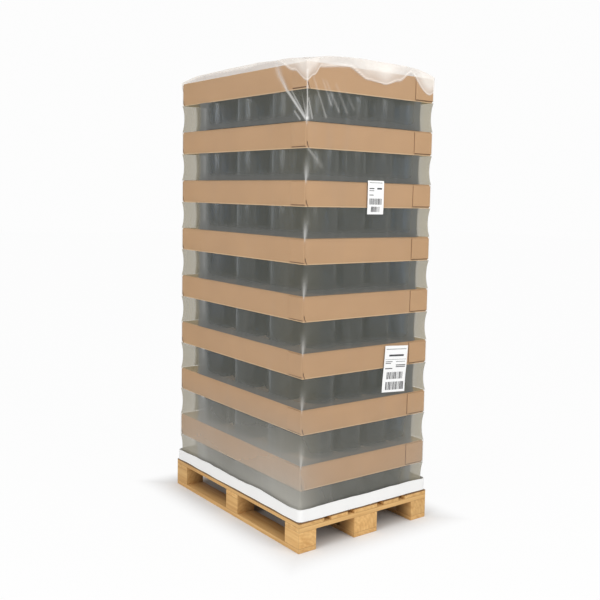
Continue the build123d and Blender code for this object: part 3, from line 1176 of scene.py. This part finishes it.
def make_patch(name, node_name, box, lift, cuts):
    """A rectangle on a label, laid on the film: box is left, bottom, right and top."""
    left, bottom, right, top = box
    patch = add_grid(name, (right - left, top - bottom), cuts, ((left + right) / 2, (bottom + top) / 2, 0))
    for point in patch.data.vertices:
        point.co = on_film(node_name, point.co.x, point.co.y, lift)
    return patch


# left, bottom, right and top of the print, as shares of the label from its middle
PRINT_LINES = {
    "label_upper": ((-0.4, 0.43, 0.4, 0.445), (-0.4, 0.25, -0.1, 0.28), (0.08, 0.24, 0.38, 0.29),
                    (-0.4, 0.19, -0.1, 0.21), (-0.4, 0.06, -0.14, 0.085)),
    "label_lower": ((-0.44, 0.42, 0.44, 0.432), (-0.3, 0.27, 0.34, 0.31), (-0.46, 0.2, 0.46, 0.206),
                    (-0.44, 0.15, -0.14, 0.165), (-0.44, 0.115, -0.2, 0.13), (0.02, 0.15, 0.42, 0.16),
                    (0.02, 0.07, 0.44, 0.09), (0.02, 0.035, 0.44, 0.055), (-0.44, 0.0, -0.12, 0.02)),
}
BAR_ROWS = {
    "label_upper": ((-0.4, -0.21, 0.38, -0.03), (-0.28, -0.43, 0.28, -0.27)),
    "label_lower": ((-0.34, -0.22, 0.38, -0.07), (-0.36, -0.45, 0.42, -0.28)),
}


def print_boxes(node_name, seed):
    """Plain lines and two rows of plain bars on a label, as left, bottom, right and top in metres."""
    chance = random.Random(seed)
    wide, tall = LABEL_SIZE[node_name]
    boxes = list(PRINT_LINES[node_name])
    for left, bottom, right, top in BAR_ROWS[node_name]:
        while left < right - 0.03:
            bar = chance.choice((0.016, 0.026, 0.045))
            boxes.append((left, bottom, left + bar, top))
            left += bar + chance.choice((0.014, 0.02, 0.032))
    return [(left * wide, bottom * tall, right * wide, top * tall) for left, bottom, right, top in boxes]


def make_label(node_name, seed):
    """A label and its print, stuck on the film."""
    wide, tall = LABEL_SIZE[node_name]
    box = (-wide / 2, -tall / 2, wide / 2, tall / 2)
    sheet = make_patch(node_name + "_paper", node_name, box, PAPER_LIFT, (10, 24))
    apply_modifier(sheet, "SOLIDIFY", thickness=PAPER, offset=-1)
    sheet.data.materials.append(paper)
    printed = [make_patch("mark", node_name, mark, INK_LIFT, (1, 8)) for mark in print_boxes(node_name, seed)]
    printed = join(printed, node_name + "_print")
    printed.data.materials.append(ink)
    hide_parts(node_name)
    for piece in (sheet, printed):
        smooth(piece)
        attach(piece, "root")
    return sheet


labels = [make_label("label_upper", 11), make_label("label_lower", 12)]
print("labels", len(labels))

# %% [markdown]
# ## Floor, light and camera
# The floor is a pale plane that keeps the load's shadow, and its colour is painted darker under the pallet as
# painted shade. The world is plain white to the camera and in reflections, and a calm grey as a light. Two large
# soft lamps stand on the right-hand side and on the front side.

# %% Floor and world
def make_floor():
    """A pale floor whose colour meets the background, painted darker under the pallet as painted shade."""
    rest()
    bpy.ops.mesh.primitive_plane_add(size=60)
    floor = bpy.context.object
    floor.name = "floor"
    material, tree, shader = new_material("pale_floor", {"Roughness": 0.9, "Specular IOR Level": 0.0})
    white = node(tree, "ShaderNodeEmission", {"Color": (1, 1, 1, 1), "Strength": 1.0}).outputs[0]
    spot = axes(tree, object_place(tree))
    beyond = [maths(tree, "SUBTRACT", maths(tree, "ABSOLUTE", part), half)
              for part, half in zip(spot, HALF_PALLET)]
    beyond = maths(tree, "MAXIMUM", *beyond)
    away = ramp(tree, beyond, -0.04, 0.2, 0.0, 0.95)
    share = times(tree, seen_share(tree), away)
    # painted shade: the floor's colour darkens under and just round the pallet
    feed(tree, shader, {"Base Color": ramp(tree, beyond, -0.12, 0.02, 0.5, 0.85)})
    mixed = node(tree, "ShaderNodeMixShader", {0: share, 1: shader.outputs[0], 2: white})
    feed(tree, tree.nodes["Material Output"], {"Surface": mixed.outputs[0]})
    floor.data.materials.append(material)


def make_world():
    """White where it is seen or mirrored, a calm light otherwise."""
    world = bpy.data.worlds.new("studio")
    bpy.context.scene.world = world
    world.use_nodes = True
    tree = world.node_tree
    back = tree.nodes["Background"]
    back.inputs["Color"].default_value = (1, 1, 1, 1)
    feed(tree, back, {"Strength": ramp(tree, seen_share(tree), 0.0, 1.0, 0.6, 0.98)})


make_floor()
make_world()
print("world", bpy.context.scene.world.name)

# %% Lamps
def add_lamp(name, place, target, size, watts):
    """A square soft lamp at a place, aimed at a target."""
    rest()
    bpy.ops.object.light_add(type="AREA", location=place)
    lamp = bpy.context.object
    lamp.name = name
    lamp.data.size = size
    lamp.data.energy = watts
    aim = Vector(target) - Vector(place)
    lamp.rotation_euler = aim.to_track_quat("-Z", "Y").to_euler()
    return lamp


LOAD_MIDDLE = (0, 0, 1.1)
lamps = [add_lamp("key", (5.2, 0.6, 3.6), LOAD_MIDDLE, 3.0, 125),
         add_lamp("side", (1.3, -4.7, 2.7), LOAD_MIDDLE, 2.6, 92)]
print("lamps", [lamp.name for lamp in lamps])

# %% [markdown]
# ## Camera
# The camera stands where the load's edges fall as in the photograph. Its height and distance were
# found by matching the corners of the trays and of the pallet.

# %% Camera
LENS = 50.71
CAMERA_PLACE = (3.680, -2.592, 1.646)
CAMERA_AZIMUTH, CAMERA_PITCH, CAMERA_ROLL = math.radians(50.66), math.radians(4.89), math.radians(1.332)
CAMERA_SHIFT = (-0.1015, -0.05)


def add_camera():
    """The camera at the photograph's viewing angle."""
    rest()
    bpy.ops.object.camera_add(location=CAMERA_PLACE)
    camera = bpy.context.object
    camera.data.lens = LENS
    camera.data.shift_x, camera.data.shift_y = CAMERA_SHIFT
    level = Matrix.Rotation(CAMERA_AZIMUTH, 4, "Z") @ Matrix.Rotation(math.radians(90) - CAMERA_PITCH, 4, "X")
    turned = level @ Matrix.Rotation(CAMERA_ROLL, 4, "Z")
    camera.rotation_euler = turned.to_euler()
    bpy.context.scene.camera = camera
    return camera


bpy.context.scene.view_settings.view_transform = "Standard"
print("camera", add_camera().name)
